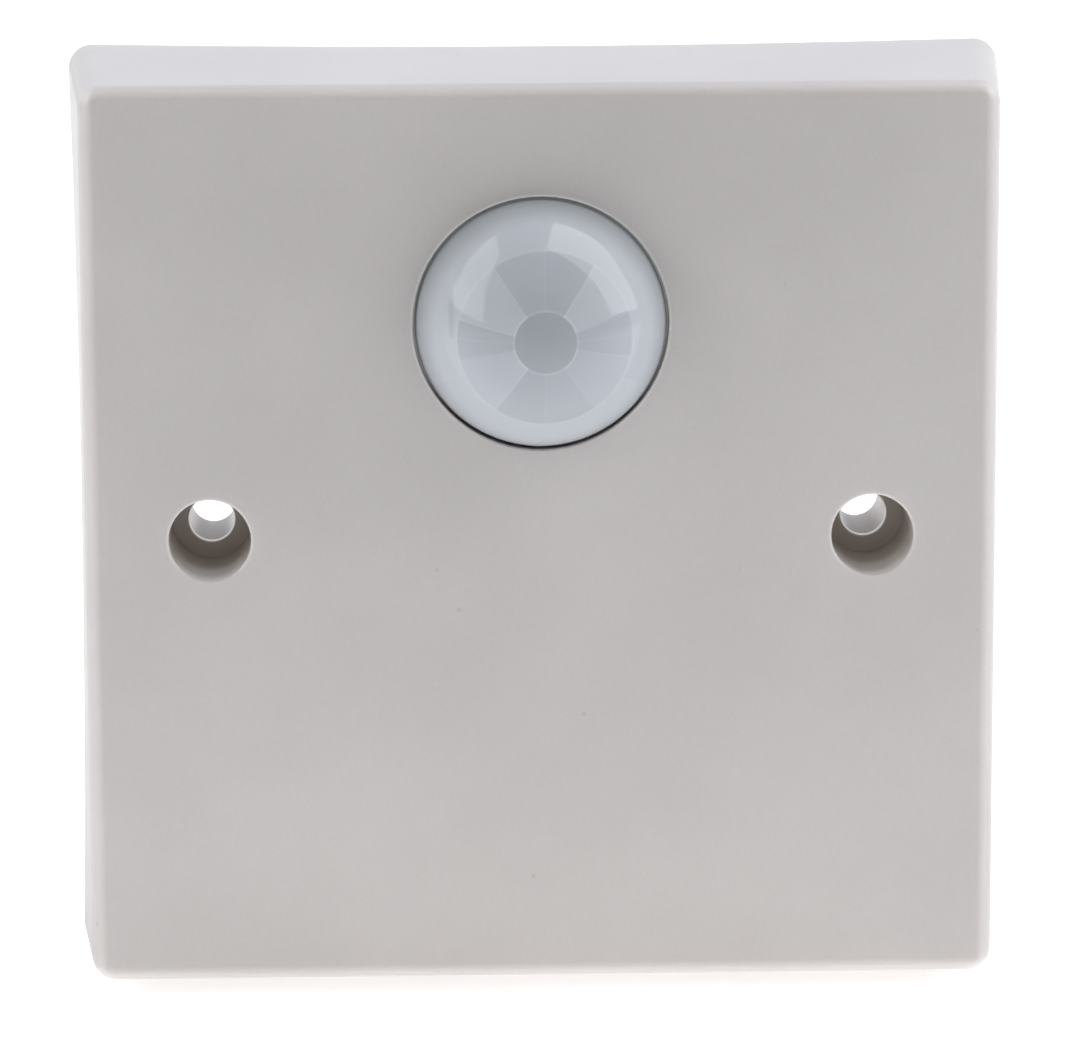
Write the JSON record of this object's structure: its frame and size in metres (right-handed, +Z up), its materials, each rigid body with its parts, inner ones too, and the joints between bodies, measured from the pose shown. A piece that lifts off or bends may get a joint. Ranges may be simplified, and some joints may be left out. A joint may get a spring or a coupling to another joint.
{
  "type": "wall motion sensor",
  "caption": "Square wall plate motion sensor with a round lens dome, recessed fixing holes, and a rear tray with terminals and two adjusters.",
  "frame": {"origin": "centre of the wall plane, midway between the two fixing holes", "axes": "+Z up, +X to the right seen from the room, +Y into the wall"},
  "size_m": [0.086, 0.0443, 0.086],
  "materials": {
    "plate_moulding": "fine moulded satin, warm pale grey",
    "cover_moulding": "plain moulded satin, off white",
    "lens_plastic": "translucent cool grey, smooth outside",
    "clamp_ring_plastic": "black moulded satin",
    "board_laminate": "green solder resist over glass laminate",
    "can_metal": "drawn and plated",
    "filter_window": "dark coated silicon filter",
    "ceramic_white": "fired ceramic",
    "clear_resin": "clear cast resin",
    "red_resin": "tinted cast resin",
    "package_black": "moulded package",
    "resistor_body": "glazed chip with tinned ends",
    "capacitor_body": "tan ceramic chip with tinned ends",
    "zinc_steel": "zinc plated",
    "tinned_brass": "tinned",
    "relay_case": "black moulded case",
    "film_case": "yellow moulded case",
    "can_sleeve": "dark printed sleeve over an aluminium can",
    "fuse_case": "brown moulded case",
    "absorber_coat": "blue dipped epoxy",
    "terminal_plastic": "green moulded housing",
    "trimmer_plastic": "blue moulded base",
    "spindle_plastic": "white moulded spindle"
  },
  "bodies": {
    "housing": {"bridge_rectifier": "package_black", "chip_capacitors": "capacitor_body", "chip_resistors": "resistor_body", "controller_chip": "package_black", "cover_screws": "zinc_steel", "film_capacitor": "film_case", "front_plate": "plate_moulding", "indicator_lamp": "red_resin", "lens_clamp_ring": "clamp_ring_plastic", "lens_dome": "lens_plastic", "light_cell": "clear_resin", "link_header": "package_black", "link_pins": "tinned_brass", "lux_trimmer": "trimmer_plastic", "mains_board": "board_laminate", "mains_board_screws": "zinc_steel", "mains_fuse": "fuse_case", "rear_cover": "cover_moulding", "relay": "relay_case", "relay_diode": "package_black", "reservoir_capacitor": "can_sleeve", "sensor_board": "board_laminate", "sensor_board_screws": "zinc_steel", "sensor_can": "can_metal", "sensor_element": "ceramic_white", "sensor_header": "can_metal", "sensor_window": "filter_window", "surge_absorber": "absorber_coat", "terminal_block": "terminal_plastic", "terminal_contacts": "tinned_brass", "time_trimmer": "trimmer_plastic", "voltage_regulator": "package_black"},
    "time_adjuster": {"time_adjuster": "spindle_plastic"},
    "lux_adjuster": {"lux_adjuster": "spindle_plastic"},
    "live_screw": {"live_screw": "zinc_steel"},
    "live_clamp": {"live_clamp": "tinned_brass"},
    "neutral_screw": {"neutral_screw": "zinc_steel"},
    "neutral_clamp": {"neutral_clamp": "tinned_brass"},
    "load_screw": {"load_screw": "zinc_steel"},
    "load_clamp": {"load_clamp": "tinned_brass"}
  },
  "joints": [
    {"name": "time_adjust", "type": "hinge", "parent": "housing", "child": "time_adjuster", "pos_m": [-0.0179, 0.008, -0.0186], "axis": [0, -1, 0], "range_deg": [-117.5, 117.5]},
    {"name": "lux_adjust", "type": "hinge", "parent": "housing", "child": "lux_adjuster", "pos_m": [0.0179, 0.008, -0.0186], "axis": [0, -1, 0], "range_deg": [-117.5, 117.5]},
    {"name": "live_screw_turn", "type": "hinge", "parent": "housing", "child": "live_screw", "pos_m": [-0.008, 0.01, -0.02], "axis": [0, -1, 0], "range_deg": [0, 2020]},
    {"name": "live_clamp_rise", "type": "slide", "parent": "housing", "child": "live_clamp", "axis": [0, 1, 0], "range_m": [0, 0.0028]},
    {"name": "neutral_screw_turn", "type": "hinge", "parent": "housing", "child": "neutral_screw", "pos_m": [0, 0.01, -0.02], "axis": [0, -1, 0], "range_deg": [0, 2020]},
    {"name": "neutral_clamp_rise", "type": "slide", "parent": "housing", "child": "neutral_clamp", "axis": [0, 1, 0], "range_m": [0, 0.0028]},
    {"name": "load_screw_turn", "type": "hinge", "parent": "housing", "child": "load_screw", "pos_m": [0.008, 0.01, -0.02], "axis": [0, -1, 0], "range_deg": [0, 2020]},
    {"name": "load_clamp_rise", "type": "slide", "parent": "housing", "child": "load_clamp", "axis": [0, 1, 0], "range_m": [0, 0.0028]}
  ],
  "couplings": [
    {"joint": "live_screw_turn", "follows": "live_clamp_rise", "rad_per_m": 12566},
    {"joint": "neutral_screw_turn", "follows": "neutral_clamp_rise", "rad_per_m": 12566},
    {"joint": "load_screw_turn", "follows": "load_clamp_rise", "rad_per_m": 12566}
  ]
}
